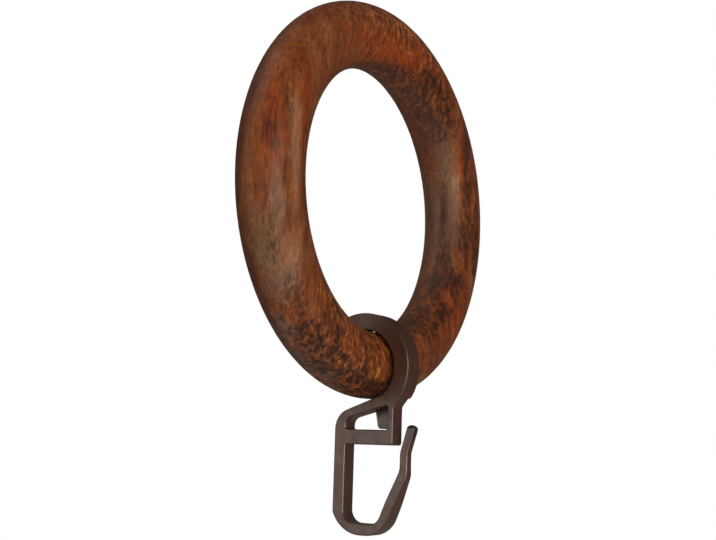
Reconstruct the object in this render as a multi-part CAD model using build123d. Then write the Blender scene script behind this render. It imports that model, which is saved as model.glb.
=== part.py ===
from build123d import *
import math
import os

# A wooden curtain ring with a plastic hook clipped round its wood.
# The ring stands in the XZ plane with its centre at the origin, and the pole runs along Y.
# The hook hangs at the bottom of the ring and lies in the YZ plane, with its lit face towards -X.
# Points of the hook's outline are (y, z) pairs.

# wooden ring
ring_outer_dia = 60.0
ring_hole_dia = 40.0
ring_width = 9.2
ring_nose_share = 0.75

# clip loop, a sprung C that is pressed over the wood
loop_slack = 0.5
loop_rest_gap = 0.15
strap_width = 2.5
loop_depth = 3.4
strap_end_angle = -8.0
strap_root_angle = 235.0

# frame under the loop, flush with the loop in front and thinner behind
front_x = -1.5
frame_depth = 2.6
arm_gap = 0.37
arm_slope = 20.0
arm_under_slope = 15.6
arm_depth = 1.5
shoulder_radius = 3.0
back_bar_inset = 1.0
back_bar_width = 1.9
link_inset = 2.4
link_width = 0.9
back_bar_height = 1.56
crossbar_height = 2.2
cell_top_radius = 1.3
cell_corner_radius = 0.35
link_root_radius = 1.2
crossbar_end_radius = 0.4
arm_start_share = 0.8
link_top_share = 0.6

# tail of the strap, behind the cell
tail_lip_angle = 262.4
tail_foot_lean = 0.94
tail_link_overlap = 0.2
tail_floor_gap = 0.15
tail_corner_radius = 0.6
tail_neck_angle = 213.0
tail_neck_rise = 0.35

# hook under the crossbar
bottom_drop = 13.0
bottom_thickness = 1.65
heel_height = 3.1
heel_inset = 1.7
heel_radius = 1.0
bottom_left_radius = 5.2
bottom_right_radius = 4.2
throat_left_radius = 1.9
throat_right_radius = 1.9

# sprung tongue of the hook, thinner towards its tip
tongue_foot_inset = 1.51
tongue_slope = 22.7
tongue_width = 1.48
neck_reach = 2.15
neck_width = 1.3
neck_height = 3.2
neck_radius = 2.6
flare_slope = 17.2
flare_length = 4.0
tip_radius = 0.64
tongue_neck_depth = 1.2
taper_start_height = 3.6
taper_end_height = 10.6

# small slant on the moulded edges
edge_chamfer = 0.15

# how far the shapes that are cut away run past what they cut
cut_clearance = 1.0


def tan_deg(angle):
    return math.tan(math.radians(angle))


# wooden ring: its section is half round outside, with two wider side arcs and a nose arc inside
def make_ring():
    half = ring_width / 2
    widest = ring_outer_dia / 2 - half
    stretch = widest - ring_hole_dia / 2 - half
    nose_shift = 1 + ring_nose_share
    side_shift = (1 + 2 * ring_nose_share) / (2 * ring_nose_share)
    meeting = math.degrees(math.atan2(side_shift, nose_shift))
    nose_radius = half - ring_nose_share * stretch
    side_radius = half + side_shift * stretch
    side_y = side_shift * stretch
    outer_arc = CenterArc((widest, 0), half, -90, 180)
    upper_arc = CenterArc((widest, -side_y), side_radius, 90, 90 - meeting)
    nose_arc = CenterArc((widest - nose_shift * stretch, 0), nose_radius, 180 - meeting, 2 * meeting)
    lower_arc = CenterArc((widest, side_y), side_radius, 180 + meeting, 90 - meeting)
    arcs = [outer_arc.edge(), upper_arc.edge(), nose_arc.edge(), lower_arc.edge()]
    return revolve(make_face(Wire(arcs)), axis=Axis.Y)


# places of the hook's loop, back bar and link, which follow from the ring
section_reach = max((ring_outer_dia - ring_hole_dia) / 4, ring_width / 2)
section_z = -(ring_outer_dia + ring_hole_dia) / 4
loop_inner_radius = section_reach + loop_slack
loop_outer_radius = loop_inner_radius + strap_width
loop_z = -ring_hole_dia / 2 - loop_inner_radius + loop_rest_gap
back_bar_outer_y = loop_inner_radius - back_bar_inset
back_bar_inner_y = back_bar_outer_y - back_bar_width
link_outer_y = link_inset - loop_outer_radius
link_inner_y = link_outer_y + link_width
rear_x = front_x + frame_depth
middle_x = front_x + frame_depth / 2


# upper edge of the slanted arm, which clears the wood by arm_gap
def arm_top(y):
    reach = section_reach + arm_gap
    return section_z - reach / math.cos(math.radians(arm_slope)) - y * tan_deg(arm_slope)


def arm_under(y):
    return arm_top(0) - arm_depth - y * tan_deg(arm_under_slope)


# heights of the cell's floor, the crossbar and the hook's bottom
cell_floor_z = arm_under(back_bar_inner_y) - back_bar_height
crossbar_z = cell_floor_z - crossbar_height
bottom_z = crossbar_z - bottom_drop
bottom_inner_z = bottom_z + bottom_thickness

# feet of the tongue and of its neck
tongue_foot_y = link_outer_y + tongue_foot_inset
neck_outer_y = link_outer_y - neck_reach


# a closed outline of straight runs with rounded corners, each corner given as ((y, z), radius)
def outline(corners):
    points = [point for point, radius in corners]
    radii = [radius for point, radius in corners]
    return make_face(FilletPolyline(*points, radius=radii, close=True))


# a point at a radius and angle about the loop's centre
def polar(radius, angle):
    turn = math.radians(angle)
    return (radius * math.cos(turn), loop_z + radius * math.sin(turn))


# the loop's strap from its free end, over the wood and down to an angle on the other side
def make_strap(last_angle):
    sweep = last_angle - strap_end_angle
    inner_arc = CenterArc((0, loop_z), loop_inner_radius, strap_end_angle, sweep)
    outer_arc = CenterArc((0, loop_z), loop_outer_radius, strap_end_angle, sweep)
    free_end = Line(inner_arc @ 0, outer_arc @ 0)
    root_end = Line(inner_arc @ 1, outer_arc @ 1)
    strap = make_face(Wire([inner_arc.edge(), free_end.edge(), outer_arc.edge(), root_end.edge()]))
    middle = polar((loop_inner_radius + loop_outer_radius) / 2, strap_end_angle)
    return strap + Pos(*middle) * Circle(strap_width / 2)


# the closed cell under the wood: slanted arm, back bar, crossbar and thin link
def make_frame():
    arm_start_y = -arm_start_share * loop_inner_radius
    link_top_z = loop_z - link_top_share * loop_outer_radius
    return outline([
        ((arm_start_y, arm_top(arm_start_y)), 0),
        ((back_bar_outer_y, arm_top(back_bar_outer_y)), shoulder_radius),
        ((back_bar_outer_y, crossbar_z), 0),
        ((link_outer_y, crossbar_z), crossbar_end_radius),
        ((link_outer_y, link_top_z), 0),
    ])


def make_cell():
    return outline([
        ((back_bar_inner_y, arm_under(back_bar_inner_y)), cell_top_radius),
        ((back_bar_inner_y, cell_floor_z), cell_corner_radius),
        ((link_inner_y, cell_floor_z), cell_corner_radius),
        ((link_inner_y, arm_under(link_inner_y)), cell_corner_radius),
    ])


# the tongue's two long edges, from the hook's bottom to the neck and out to the tip
tongue_lean = tan_deg(tongue_slope)
tongue_run = tongue_width / math.cos(math.radians(tongue_slope))
neck_foot_z = bottom_z + (tongue_foot_y - neck_outer_y) / tongue_lean
neck_top_z = neck_foot_z + neck_height
neck_inner_y = neck_outer_y + neck_width
inner_foot_y = tongue_foot_y + tongue_run - bottom_thickness * tongue_lean
inner_neck_z = bottom_inner_z + (inner_foot_y - neck_inner_y) / tongue_lean
flare_turn = math.radians(flare_slope)
tip_y = neck_outer_y - flare_length * math.sin(flare_turn)
tip_z = neck_top_z + flare_length * math.cos(flare_turn)
tip_inner_y = tip_y + neck_width * math.cos(flare_turn)
tip_inner_z = tip_z + neck_width * math.sin(flare_turn)
tip_top_z = (tip_z + tip_inner_z) / 2 + neck_width / 2 * (1 - math.cos(flare_turn))


# back bar and rounded bottom, up to the height where the tongue starts to thin
def make_hook_outline():
    heel_z = bottom_z + heel_height
    foot_left_y = back_bar_outer_y - heel_inset
    return outline([
        ((back_bar_outer_y, crossbar_z + crossbar_height / 2), 0),
        ((back_bar_outer_y, heel_z), heel_radius),
        ((foot_left_y, bottom_z), bottom_left_radius),
        ((tongue_foot_y, bottom_z), bottom_right_radius),
        ((neck_outer_y, neck_foot_z), neck_radius),
        ((neck_outer_y, neck_top_z), neck_radius),
        ((tip_y, tip_z), tip_radius),
        ((tip_inner_y, tip_inner_z), tip_radius),
        ((neck_inner_y, neck_top_z), neck_radius),
        ((neck_inner_y, inner_neck_z), neck_radius),
        ((inner_foot_y, bottom_inner_z), throat_right_radius),
        ((back_bar_inner_y, bottom_inner_z), throat_left_radius),
        ((back_bar_inner_y, crossbar_z + crossbar_height / 2), 0),
    ])


# the two sides that are taken off the tongue, so that it thins towards its tip
def make_tongue_sides():
    taper_start_z = bottom_z + taper_start_height
    taper_end_z = bottom_z + taper_end_height
    top_z = tip_top_z + cut_clearance
    sides = []
    for side in (-1, 1):
        full_x = middle_x + side * frame_depth / 2
        neck_x = middle_x + side * tongue_neck_depth / 2
        clear_x = full_x + side * cut_clearance
        taper = Spline((full_x, taper_start_z), (neck_x, taper_end_z), tangents=[(0, 1), (0, 1)])
        rest = Polyline((neck_x, taper_end_z), (neck_x, top_z), (clear_x, top_z),
                        (clear_x, taper_start_z), (full_x, taper_start_z))
        waste = make_face(Wire([taper.edge()] + rest.edges()))
        sides.append(extrude(Plane.XZ * waste, cut_clearance - tip_y))
    return sides


# the corners that are taken off the tip, so that it ends in a dome
def make_tip_corners():
    dome_radius = tongue_neck_depth / 2
    dome_z = tip_top_z - dome_radius
    block = Pos(middle_x, dome_z + dome_radius) * Rectangle(4 * dome_radius, 2 * dome_radius)
    corners = block - Pos(middle_x, dome_z) * Circle(dome_radius)
    start_y = neck_inner_y + cut_clearance
    return extrude(Plane.XZ.offset(-start_y) * corners, start_y - tip_y + cut_clearance)


# tail of the strap, which hangs behind the cell and stops above the crossbar's upper edge
def make_tail():
    foot_z = cell_floor_z + tail_floor_gap
    right_y = link_inner_y - tail_link_overlap
    neck_z = loop_z - loop_inner_radius + tail_neck_rise
    trimmed_radius = loop_inner_radius - strap_width / 2
    lip = polar(trimmed_radius, tail_lip_angle)
    sheet = outline([
        (polar(trimmed_radius, tail_neck_angle), 0),
        (lip, 0),
        ((lip[0] - tail_foot_lean, foot_z), tail_corner_radius),
        ((right_y, foot_z), cell_corner_radius),
        ((right_y, neck_z), 0),
        (polar(loop_outer_radius, tail_neck_angle), 0),
    ])
    return sheet - Pos(0, loop_z) * Circle(loop_inner_radius)


# an outline in the hook's plane, given its thickness along X
def plate(face, start_x, depth):
    return extrude(Plane.YZ.offset(start_x) * face, depth)


def make_hook():
    front_face = make_strap(strap_root_angle) + make_frame() - make_cell()
    drop = math.sqrt(loop_outer_radius ** 2 - link_outer_y ** 2)
    link_root = Vector(link_outer_y, loop_z - drop)
    nearest = front_face.vertices().sort_by_distance(link_root)[0]
    front_face = fillet(nearest, link_root_radius)
    rear_plate = plate(make_strap(tail_neck_angle) + make_tail(), rear_x, loop_depth - frame_depth)
    back = rear_plate.faces().sort_by(Axis.X)[-1]
    hook = plate(make_hook_outline(), front_x, frame_depth)
    for waste in make_tongue_sides():
        hook -= waste
    hook += plate(front_face, front_x, frame_depth)
    hook += chamfer(back.edges(), edge_chamfer)
    front = hook.faces().filter_by(Axis.X).sort_by(Axis.X)[0]
    return chamfer(front.edges(), edge_chamfer) - make_tip_corners()


os.makedirs("parts", exist_ok=True)
export_step(make_ring(), "parts/wooden_ring.step")
export_step(make_hook(), "parts/hook.step")
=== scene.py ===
import math

import bpy
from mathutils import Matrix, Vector


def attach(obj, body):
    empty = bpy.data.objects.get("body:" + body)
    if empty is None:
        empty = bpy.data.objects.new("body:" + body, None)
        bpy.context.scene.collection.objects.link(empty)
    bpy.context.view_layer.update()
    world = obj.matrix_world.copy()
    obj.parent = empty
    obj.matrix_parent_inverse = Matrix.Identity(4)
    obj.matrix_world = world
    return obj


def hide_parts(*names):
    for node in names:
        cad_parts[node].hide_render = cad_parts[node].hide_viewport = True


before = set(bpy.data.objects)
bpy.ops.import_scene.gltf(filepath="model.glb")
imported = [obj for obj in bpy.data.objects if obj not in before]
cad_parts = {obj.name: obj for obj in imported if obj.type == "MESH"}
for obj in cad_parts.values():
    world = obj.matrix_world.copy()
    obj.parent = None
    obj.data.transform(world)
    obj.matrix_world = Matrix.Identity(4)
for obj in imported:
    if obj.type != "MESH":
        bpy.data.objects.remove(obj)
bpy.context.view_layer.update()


# The ring is turned from one piece of close-grained wood. Its grain runs straight up and down, so it
# lies along the two sides and is cut across at the top and the bottom, where the stain soaks in as
# flecks and dark patches. An antique brown stain, wiped on by hand, lies under thin satin lacquer.
def add_node(tree, kind, **settings):
    made = tree.nodes.new(kind)
    for name, value in settings.items():
        setattr(made, name, value)
    return made


def feed(tree, value, socket):
    """Joins a socket to the socket, or sets the socket to a number, a place or a colour."""
    if isinstance(value, bpy.types.NodeSocket):
        tree.links.new(value, socket)
    elif socket.type == "RGBA":
        socket.default_value = (*value, 1)
    else:
        socket.default_value = value


def object_position(tree, stretch=(1.0, 1.0, 1.0)):
    """Places on the piece in millimetres, squeezed along each axis by stretch."""
    place = add_node(tree, "ShaderNodeTexCoord")
    scaled = add_node(tree, "ShaderNodeMapping")
    scaled.inputs["Scale"].default_value = [1000 * along for along in stretch]
    feed(tree, place.outputs["Object"], scaled.inputs["Vector"])
    return scaled.outputs["Vector"]


def noise(tree, place, scale, detail, roughness):
    made = add_node(tree, "ShaderNodeTexNoise")
    made.inputs["Scale"].default_value = scale
    made.inputs["Detail"].default_value = detail
    made.inputs["Roughness"].default_value = roughness
    feed(tree, place, made.inputs["Vector"])
    return made.outputs["Fac"]


def ramp(tree, value, stops):
    """The colours of the stops, each at its place along the value."""
    made = add_node(tree, "ShaderNodeValToRGB")
    colours = made.color_ramp
    while len(colours.elements) < len(stops):
        colours.elements.new(0.5)
    for element, (place, colour) in zip(colours.elements, stops):
        element.position = place
        element.color = (*colour, 1)
    feed(tree, value, made.inputs["Fac"])
    return made.outputs["Color"]


def spread(tree, value, low_high, new_low_high=(0.0, 1.0)):
    """The value's range from low to high, eased and spread over a new range."""
    made = add_node(tree, "ShaderNodeMapRange", interpolation_type="SMOOTHSTEP")
    made.inputs["From Min"].default_value, made.inputs["From Max"].default_value = low_high
    made.inputs["To Min"].default_value, made.inputs["To Max"].default_value = new_low_high
    feed(tree, value, made.inputs["Value"])
    return made.outputs["Result"]


def calculate(tree, kind, first, second):
    made = add_node(tree, "ShaderNodeMath", operation=kind)
    feed(tree, first, made.inputs[0])
    feed(tree, second, made.inputs[1])
    return made.outputs[0]


def stain(tree, share, under, over, kind="MIX"):
    """The colour over, laid on the colour under by a share."""
    made = add_node(tree, "ShaderNodeMix", data_type="RGBA", blend_type=kind)
    # for colours the node's factor is input 0, the colours are 6 and 7, and the result is output 2
    for value, number in ((share, 0), (under, 6), (over, 7)):
        feed(tree, value, made.inputs[number])
    return made.outputs[2]


def patch(tree, centre, reach, ragged):
    """A soft mask about a place on the piece, in millimetres, its edge broken up by ragged."""
    offset = add_node(tree, "ShaderNodeVectorMath", operation="SUBTRACT")
    offset.inputs[1].default_value = centre
    feed(tree, object_position(tree), offset.inputs[0])
    shape = add_node(tree, "ShaderNodeVectorMath", operation="DIVIDE")
    shape.inputs[1].default_value = reach
    feed(tree, offset.outputs[0], shape.inputs[0])
    length = add_node(tree, "ShaderNodeVectorMath", operation="LENGTH")
    feed(tree, shape.outputs[0], length.inputs[0])
    uneven = calculate(tree, "ADD", length.outputs["Value"], ragged)
    full_to, gone_from = 0.35, 1.4
    return spread(tree, uneven, (full_to, gone_from), (1.0, 0.0))


def patches(tree, places, ragged):
    """The masks of several places, joined."""
    joined = 0.0
    for centre, reach in places:
        joined = calculate(tree, "MAXIMUM", patch(tree, centre, reach, ragged), joined)
    return joined


# Fine unevenness of a finished surface: where it is duller, and where it stands a little higher.
unevenness = bpy.data.node_groups.new("surface_unevenness", "ShaderNodeTree")
for name, kind, way in (
    ("Place", "NodeSocketVector", "INPUT"),
    ("Scale", "NodeSocketFloat", "INPUT"),
    ("Glossiest", "NodeSocketFloat", "INPUT"),
    ("Dullest", "NodeSocketFloat", "INPUT"),
    ("Roughness", "NodeSocketFloat", "OUTPUT"),
    ("Height", "NodeSocketFloat", "OUTPUT"),
):
    unevenness.interface.new_socket(name=name, in_out=way, socket_type=kind)
given = unevenness.nodes.new("NodeGroupInput").outputs
put_out = unevenness.nodes.new("NodeGroupOutput").inputs
broad = add_node(unevenness, "ShaderNodeTexNoise")
fine = add_node(unevenness, "ShaderNodeTexNoise")
for layer, times_finer, detail in ((broad, 1.0, 5.0), (fine, 9.0, 2.0)):
    layer.inputs["Detail"].default_value = detail
    scale = calculate(unevenness, "MULTIPLY", given["Scale"], times_finer)
    feed(unevenness, scale, layer.inputs["Scale"])
    feed(unevenness, given["Place"], layer.inputs["Vector"])
dullness = add_node(unevenness, "ShaderNodeMapRange")
dullness.inputs["From Min"].default_value = 0.35
dullness.inputs["From Max"].default_value = 0.65
feed(unevenness, broad.outputs["Fac"], dullness.inputs["Value"])
feed(unevenness, given["Glossiest"], dullness.inputs["To Min"])
feed(unevenness, given["Dullest"], dullness.inputs["To Max"])
feed(unevenness, dullness.outputs["Result"], put_out["Roughness"])
feed(unevenness, fine.outputs["Fac"], put_out["Height"])


def uneven_surface(tree, shader, place, scale, glossiest, dullest, depth, grain=None):
    """Gives a material the fine unevenness, with any grain of its own, up to depth metres high."""
    group = add_node(tree, "ShaderNodeGroup", node_tree=unevenness)
    feed(tree, place, group.inputs["Place"])
    feed(tree, scale, group.inputs["Scale"])
    feed(tree, glossiest, group.inputs["Glossiest"])
    feed(tree, dullest, group.inputs["Dullest"])
    feed(tree, group.outputs["Roughness"], shader.inputs["Roughness"])
    relief = add_node(tree, "ShaderNodeBump")
    relief.inputs["Strength"].default_value = 0.3
    relief.inputs["Distance"].default_value = depth
    height = group.outputs["Height"]
    if grain:
        share_beside_grain = 0.4
        height = calculate(tree, "MULTIPLY_ADD", height, share_beside_grain)
        feed(tree, grain, height.node.inputs[2])
    feed(tree, height, relief.inputs["Height"])
    feed(tree, relief.outputs["Normal"], shader.inputs["Normal"])


wood = bpy.data.materials.new("stained_wood")
wood.use_nodes = True
tree = wood.node_tree
wood_shader = tree.nodes["Principled BSDF"]

plain_place = object_position(tree)
long_grain = object_position(tree, (1.0, 1.0, 0.08))
fibre_grain = object_position(tree, (1.0, 1.0, 0.14))
dash_grain = object_position(tree, (1.0, 1.0, 0.22))
short_grain = object_position(tree, (1.0, 1.0, 0.45))
broken = noise(tree, short_grain, scale=0.6, detail=6.0, roughness=0.7)
ragged = spread(tree, broken, (0.3, 0.7), (-0.35, 0.55))

# long soft streaks on the sides
streaks = noise(tree, long_grain, scale=0.45, detail=5.0, roughness=0.6)
colour = ramp(tree, streaks, [
    (0.30, (0.060, 0.016, 0.007)),
    (0.42, (0.140, 0.034, 0.010)),
    (0.52, (0.200, 0.054, 0.015)),
    (0.62, (0.225, 0.072, 0.024)),
    (0.74, (0.270, 0.105, 0.042)),
])

# orange and dark flecks where the grain is cut across
cut_across = patches(tree, [
    ((2.0, 0.0, 24.5), (18.0, 16.0, 9.0)),
    ((-11.0, 0.0, -24.0), (18.0, 16.0, 11.0)),
], ragged)
mottling = noise(tree, short_grain, scale=1.3, detail=7.0, roughness=0.72)
mottled = ramp(tree, mottling, [
    (0.37, (0.024, 0.009, 0.006)),
    (0.45, (0.110, 0.027, 0.008)),
    (0.52, (0.230, 0.062, 0.014)),
    (0.59, (0.390, 0.122, 0.028)),
    (0.67, (0.640, 0.255, 0.072)),
])
colour = stain(tree, spread(tree, cut_across, (0.0, 1.0), (0.15, 0.9)), colour, mottled)

# patches wiped by hand, thinner and thicker along the grain, among them painted highlights in tan and a
# painted shade inside the hole
thin_thick = spread(tree, streaks, (0.35, 0.65), (0.45, 1.0))
greenish_stain_and_hole_shade = ((0.150, 0.092, 0.050), [
    ((-27.4, -1.2, -10.0), (2.2, 2.4, 11.0)),
    ((17.6, -2.3, 11.0), (2.2, 1.8, 7.0)),
    # painted shade and sheen: darker and greyer on the right inside the hole
    ((20.2, 1.0, 0.0), (1.8, 5.0, 18.0)),
    ((-14.0, -1.2, -26.8), (8.0, 2.2, 3.6)),
])
red = ((0.290, 0.050, 0.009), [
    ((-28.4, -3.0, 5.0), (1.8, 1.8, 15.0)),
    ((-24.5, -4.4, 9.0), (1.8, 1.8, 11.0)),
    ((0.0, -4.0, 21.5), (14.0, 2.4, 3.6)),
    ((20.8, -4.0, 9.0), (1.0, 1.4, 9.0)),
    ((17.5, -4.4, -14.5), (4.0, 2.4, 6.0)),
])
# the first, second and fourth tan streaks are painted highlights of the front light; the third is a
# greyish tan stain
tan_stain_and_highlights = ((0.290, 0.138, 0.066), [
    ((-25.7, -4.6, 2.0), (1.4, 1.6, 11.0)),
    ((-27.8, -3.5, -8.0), (1.4, 1.4, 9.0)),
    ((-25.0, -3.8, -13.5), (3.0, 2.6, 6.5)),
    ((20.6, -3.1, 5.0), (0.8, 0.8, 9.0)),
])
greyish = ((0.170, 0.098, 0.074), [
    ((-24.6, -1.6, -15.8), (3.0, 2.6, 5.0)),
    ((-20.4, -0.2, -21.8), (4.0, 2.2, 4.0)),
    ((-15.6, 0.4, -25.8), (4.5, 1.8, 3.0)),
])
for wiped_colour, places in (greenish_stain_and_hole_shade, red, tan_stain_and_highlights, greyish):
    wiped = calculate(tree, "MULTIPLY", patches(tree, places, ragged), thin_thick)
    colour = stain(tree, wiped, colour, wiped_colour)

# a wine red round the dark patches
dark = patches(tree, [
    ((-18.0, -2.6, -21.5), (5.5, 3.0, 4.5)),
    ((-14.5, -2.2, -25.2), (6.0, 3.2, 3.6)),
    ((-8.5, -2.8, -27.4), (6.0, 3.0, 2.8)),
    ((-2.0, -2.4, -29.0), (7.0, 3.6, 2.4)),
    ((1.5, -2.0, 20.2), (6.0, 2.2, 2.0)),
    ((9.5, -2.4, 18.8), (6.5, 3.0, 3.8)),
    ((13.5, -2.0, 15.6), (4.6, 2.6, 4.5)),
    ((9.0, -3.8, 20.4), (6.0, 1.6, 3.0)),
    ((15.0, -3.8, 16.4), (4.0, 1.6, 4.5)),
    ((21.3, -4.5, 12.5), (1.7, 1.2, 6.5)),
    ((22.4, -4.3, 5.0), (1.6, 1.2, 7.0)),
    ((20.0, -1.0, 3.0), (0.8, 0.8, 10.0)),
    ((19.4, -1.9, -6.0), (1.6, 1.6, 7.5)),
    ((17.4, -1.4, -11.5), (3.4, 3.0, 7.5)),
    ((12.0, -1.4, -17.4), (6.5, 3.6, 4.2)),
    ((22.0, -3.8, -3.0), (1.5, 1.3, 6.0)),
    ((24.8, -4.2, -4.0), (1.4, 1.4, 11.0)),
    ((19.6, -3.7, -10.0), (2.2, 1.8, 5.5)),
    ((15.5, -3.6, -15.5), (4.0, 1.8, 3.6)),
], ragged)
wine_red, wine_share = (0.115, 0.024, 0.012), 0.45
colour = stain(tree, calculate(tree, "MULTIPLY", dark, wine_share), colour, wine_red)

# stain pooled in the dark patches, in thin lines along the grain, and in short dashes on the left
clumps = noise(tree, short_grain, scale=1.3, detail=8.0, roughness=0.78)
blotches = spread(tree, clumps, (0.43, 0.60), (1.0, 0.25))
pooled = spread(tree, calculate(tree, "MULTIPLY", dark, blotches), (0.0, 0.95))
lines = noise(tree, long_grain, scale=1.3, detail=7.0, roughness=0.75)
scattered = spread(tree, lines, (0.56, 0.74), (0.0, 0.6))
pooled = calculate(tree, "MAXIMUM", pooled, scattered)
faint = patches(tree, [
    ((-28.7, -2.6, 4.5), (1.4, 1.3, 7.0)),
    ((-28.4, -2.7, -5.0), (1.4, 1.3, 7.0)),
    ((-27.2, -2.5, -11.5), (1.4, 1.2, 5.0)),
    ((-22.5, -3.8, -17.0), (2.6, 2.2, 5.0)),
    ((-27.0, -3.9, 12.0), (1.6, 1.4, 7.0)),
], ragged)
specks = noise(tree, dash_grain, scale=1.6, detail=7.0, roughness=0.75)
dashes = spread(tree, specks, (0.42, 0.58), (0.8, 0.0))
pooled = calculate(tree, "MAXIMUM", pooled, calculate(tree, "MULTIPLY", faint, dashes))
pooled_brown, pooled_share = (0.030, 0.012, 0.008), 0.92
colour = stain(tree, calculate(tree, "MULTIPLY", pooled, pooled_share), colour, pooled_brown)

# painted shade on the outside towards the back, as at the ring's left edge, and painted shade and sheen
# in the hole, which make it darker and greyer
across = add_node(tree, "ShaderNodeSeparateXYZ")
feed(tree, plain_place, across.inputs[0])
from_axis = add_node(tree, "ShaderNodeVectorMath", operation="LENGTH")
feed(tree, object_position(tree, (1.0, 0.0, 1.0)), from_axis.inputs[0])
outwards = from_axis.outputs["Value"]
# painted shade: the outside is darkened towards the back
painted_shade_behind = spread(tree, across.outputs["Y"], (-1.0, 2.5), (0.0, 0.60))
painted_shade_behind = calculate(tree, "MULTIPLY", painted_shade_behind, spread(tree, outwards, (23.0, 27.0)))
painted_back_shade, hole_shade_and_sheen = (0.040, 0.014, 0.009), (0.085, 0.046, 0.036)
colour = stain(tree, painted_shade_behind, colour, painted_back_shade)
# painted shade and sheen: the hole is darkened and greyed
colour = stain(tree, spread(tree, outwards, (21.6, 20.2), (0.0, 0.4)), colour, hole_shade_and_sheen)

# fine fibres
fibres = noise(tree, fibre_grain, scale=3.0, detail=4.0, roughness=0.65)
fibre_tone = ramp(tree, fibres, [
    (0.36, (0.58, 0.54, 0.50)),
    (0.48, (1.00, 1.00, 1.00)),
    (0.64, (1.34, 1.30, 1.20)),
])
fibre_share = 0.8
colour = stain(tree, fibre_share, colour, fibre_tone, kind="MULTIPLY")
feed(tree, colour, wood_shader.inputs["Base Color"])

wood_shader.inputs["Specular IOR Level"].default_value = 0.25
wood_shader.inputs["Specular Tint"].default_value = (1.0, 0.85, 0.70, 1)
wood_shader.inputs["Coat Weight"].default_value = 0.1
wood_shader.inputs["Coat Roughness"].default_value = 0.36
uneven_surface(
    tree, wood_shader, plain_place, scale=0.5,
    glossiest=0.42, dullest=0.56, depth=0.00008, grain=fibres,
)

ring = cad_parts["wooden_ring"]
ring.material_slots[0].material = wood


# The hook is one moulding of dark brown plastic: a sprung loop that is pressed over the wood, a small
# closed cell, and a hook with a sprung tongue for the heading tape. Its faces are satin from the mould,
# greyer towards the bottom with a painted sheen, and its edges have the mould's small radius.
plastic = bpy.data.materials.new("brown_plastic")
plastic.use_nodes = True
tree = plastic.node_tree
plastic_shader = tree.nodes["Principled BSDF"]
plain_place = object_position(tree)
worn = noise(tree, plain_place, scale=0.5, detail=5.0, roughness=0.6)
moulded = ramp(tree, worn, [
    (0.35, (0.046, 0.014, 0.008)),
    (0.55, (0.060, 0.019, 0.010)),
    (0.70, (0.074, 0.026, 0.015)),
])

# greyer and glossier towards the bottom, with a line between that wanders by some millimetres; the grey
# is a painted sheen
height_on_hook = add_node(tree, "ShaderNodeSeparateXYZ")
feed(tree, plain_place, height_on_hook.inputs[0])
wander = 6.0
ragged_height = calculate(tree, "MULTIPLY_ADD", worn, wander)
feed(tree, height_on_hook.outputs["Z"], ragged_height.node.inputs[2])
sheen_towards_bottom = spread(tree, ragged_height, (-26.0, -33.0), (0.0, 0.4))
# painted sheen: the grey laid on towards the bottom
painted_sheen_grey = (0.080, 0.044, 0.034)
moulded = stain(tree, sheen_towards_bottom, moulded, painted_sheen_grey)
glossiest = spread(tree, ragged_height, (-25.0, -31.0), (0.40, 0.22))
dullest = spread(tree, ragged_height, (-25.0, -31.0), (0.50, 0.34))

# the tongue's tip is darker
tip = patch(tree, centre=(-0.2, -8.8, -34.2), reach=(1.6, 1.4, 1.9), ragged=0.0)
tip_brown, tip_share = (0.016, 0.006, 0.006), 0.8
moulded = stain(tree, calculate(tree, "MULTIPLY", tip, tip_share), moulded, tip_brown)
feed(tree, moulded, plastic_shader.inputs["Base Color"])
plastic_shader.inputs["Specular IOR Level"].default_value = 0.65
uneven_surface(
    tree, plastic_shader, plain_place, scale=0.6,
    glossiest=glossiest, dullest=dullest, depth=0.00004,
)


def take_up(piece):
    """Selects a piece alone, so that the operators act on it."""
    bpy.ops.object.select_all(action="DESELECT")
    piece.select_set(True)
    bpy.context.view_layer.objects.active = piece


def merge_faces():
    """Joins the taken-up mesh's loose triangles into whole flat faces."""
    bpy.ops.object.mode_set(mode="EDIT")
    bpy.ops.mesh.select_all(action="SELECT")
    bpy.ops.mesh.remove_doubles(threshold=0.000002)
    bpy.ops.mesh.dissolve_limited(angle_limit=math.radians(0.5))
    bpy.ops.object.mode_set(mode="OBJECT")


cad_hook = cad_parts["hook"]
hook = bpy.data.objects.new("hook_moulding", cad_hook.data.copy())
bpy.context.scene.collection.objects.link(hook)
take_up(hook)
bpy.ops.mesh.customdata_custom_splitnormals_clear()
merge_faces()

# the solid's link has a mark 0.15 mm deep in its outer side, which is filled here with a small block,
# flush with the link's side and with the chamfer of its front edge
block_low = (-0.00145, -0.0056, -0.0344)
block_high = (0.00105, -0.0053, -0.0330)
link_chamfer = 0.0001
bpy.ops.object.select_all(action="DESELECT")
bpy.ops.mesh.primitive_cube_add(
    size=1,
    location=[(low + high) / 2 for low, high in zip(block_low, block_high)],
    scale=[high - low for low, high in zip(block_low, block_high)],
)
block = bpy.context.active_object
bpy.ops.object.transform_apply(location=True, scale=True)
bpy.ops.object.mode_set(mode="EDIT")
bpy.ops.mesh.select_mode(type="EDGE")
bpy.ops.mesh.select_all(action="DESELECT")
bpy.ops.object.mode_set(mode="OBJECT")
for edge in block.data.edges:
    middle = sum((block.data.vertices[end].co for end in edge.vertices), Vector()) / 2
    edge.select = math.dist(middle.xy, block_low[:2]) < link_chamfer
bpy.ops.object.mode_set(mode="EDIT")
bpy.ops.mesh.bevel(offset=link_chamfer, segments=1)
bpy.ops.object.mode_set(mode="OBJECT")

take_up(hook)
filled = hook.modifiers.new("filled", "BOOLEAN")
filled.operation = "UNION"
filled.solver = "EXACT"
filled.object = block
bpy.ops.object.modifier_apply(modifier=filled.name)
bpy.data.objects.remove(block)
merge_faces()

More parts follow.
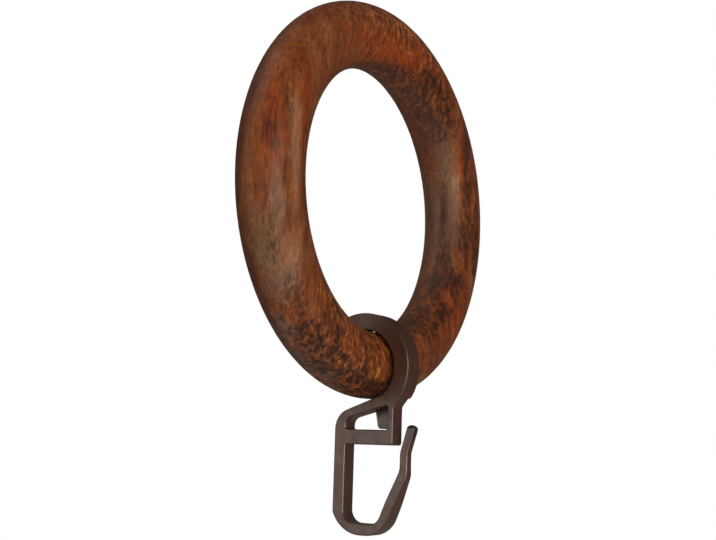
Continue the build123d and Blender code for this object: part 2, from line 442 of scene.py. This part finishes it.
rounded = hook.modifiers.new("mould_radius", "BEVEL")
rounded.limit_method = "ANGLE"
rounded.angle_limit = math.radians(35)
rounded.width = 0.0001
rounded.segments = 3
bpy.ops.object.modifier_apply(modifier=rounded.name)
bpy.ops.object.shade_smooth_by_angle(angle=math.radians(50))
flat_faces = hook.modifiers.new("flat_faces", "WEIGHTED_NORMAL")
flat_faces.keep_sharp = True
bpy.ops.object.modifier_apply(modifier=flat_faces.name)

hook.data.materials.clear()
hook.data.materials.append(plastic)
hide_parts("hook")
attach(hook, "hook")


# The studio: a pale floor some way under the hanging ring, which fades into a white surround. A long
# box low in front, with a small lamp over it, lights the front. A panel on the left shines along the
# hook's flat faces, and one high behind the ring shines along the top of the wood.
floor_middle = (0, 0, -0.25)
bpy.ops.object.select_all(action="DESELECT")
bpy.ops.mesh.primitive_circle_add(
    vertices=96, radius=0.6, fill_type="NGON", location=floor_middle,
)
floor = bpy.context.active_object
floor.name = "studio_floor"
bpy.ops.object.transform_apply(location=True)
pale = bpy.data.materials.new("pale_floor")
pale.use_nodes = True
tree = pale.node_tree
pale_shader = tree.nodes["Principled BSDF"]
pale_shader.inputs["Base Color"].default_value = (0.86, 0.86, 0.85, 1)
pale_shader.inputs["Roughness"].default_value = 0.9
place = add_node(tree, "ShaderNodeTexCoord")
distance = add_node(tree, "ShaderNodeVectorMath", operation="DISTANCE")
distance.inputs[1].default_value = floor_middle
feed(tree, place.outputs["Object"], distance.inputs[0])
faded = spread(tree, distance.outputs["Value"], (0.15, 0.55))
seen = add_node(tree, "ShaderNodeLightPath")
share = calculate(tree, "MULTIPLY", faded, seen.outputs["Is Camera Ray"])
white = add_node(tree, "ShaderNodeEmission")
mixed = add_node(tree, "ShaderNodeMixShader")
feed(tree, share, mixed.inputs[0])
feed(tree, pale_shader.outputs[0], mixed.inputs[1])
feed(tree, white.outputs[0], mixed.inputs[2])
feed(tree, mixed.outputs[0], tree.nodes["Material Output"].inputs["Surface"])
floor.data.materials.append(pale)

world = bpy.data.worlds.new("room")
bpy.context.scene.world = world
world.use_nodes = True
tree = world.node_tree
room = tree.nodes["Background"]
room.inputs["Color"].default_value = (1.0, 0.98, 0.95, 1)
room.inputs["Strength"].default_value = 0.12
surround = add_node(tree, "ShaderNodeBackground")
surround.inputs["Color"].default_value = (1, 1, 1, 1)
seen = add_node(tree, "ShaderNodeLightPath")
mixed = add_node(tree, "ShaderNodeMixShader")
feed(tree, seen.outputs["Is Camera Ray"], mixed.inputs[0])
feed(tree, room.outputs[0], mixed.inputs[1])
feed(tree, surround.outputs[0], mixed.inputs[2])
feed(tree, mixed.outputs[0], tree.nodes["World Output"].inputs["Surface"])


def soft_box(name, place, width, height, power):
    """A warm lamp with a flat face, in metres and watts, turned to the middle of the ring."""
    bpy.ops.object.light_add(type="AREA", location=place)
    lamp = bpy.context.active_object
    lamp.name = name
    lamp.rotation_euler = (-Vector(place)).to_track_quat("-Z", "Y").to_euler()
    lamp.data.shape = "RECTANGLE"
    lamp.data.size = width
    lamp.data.size_y = height
    lamp.data.energy = power
    lamp.data.color = (1.0, 0.92, 0.83)


soft_box("left_panel", place=(-0.52, 0.30, 0.05), width=0.22, height=0.44, power=0.50)
soft_box("top_panel", place=(-0.28, 0.28, 0.475), width=0.35, height=0.35, power=0.55)
soft_box("front_box", place=(-0.36, -0.57, -0.08), width=0.70, height=0.34, power=2.3)
soft_box("key_lamp", place=(-0.41, -0.55, 0.07), width=0.10, height=0.10, power=1.1)

# the camera stands where the outlines of the ring in the photo put it, low on the left
bpy.ops.object.camera_add(
    location=(-0.14416616, -0.09394778, -0.03639841),
    rotation=[math.radians(angle) for angle in (98.48366, -1.77639, -56.56352)],
)
camera = bpy.context.active_object
camera.data.sensor_width = 36
camera.data.lens = 58.104388
camera.data.clip_start = 0.01
bpy.context.scene.camera = camera

bpy.context.scene.view_settings.view_transform = "Standard"
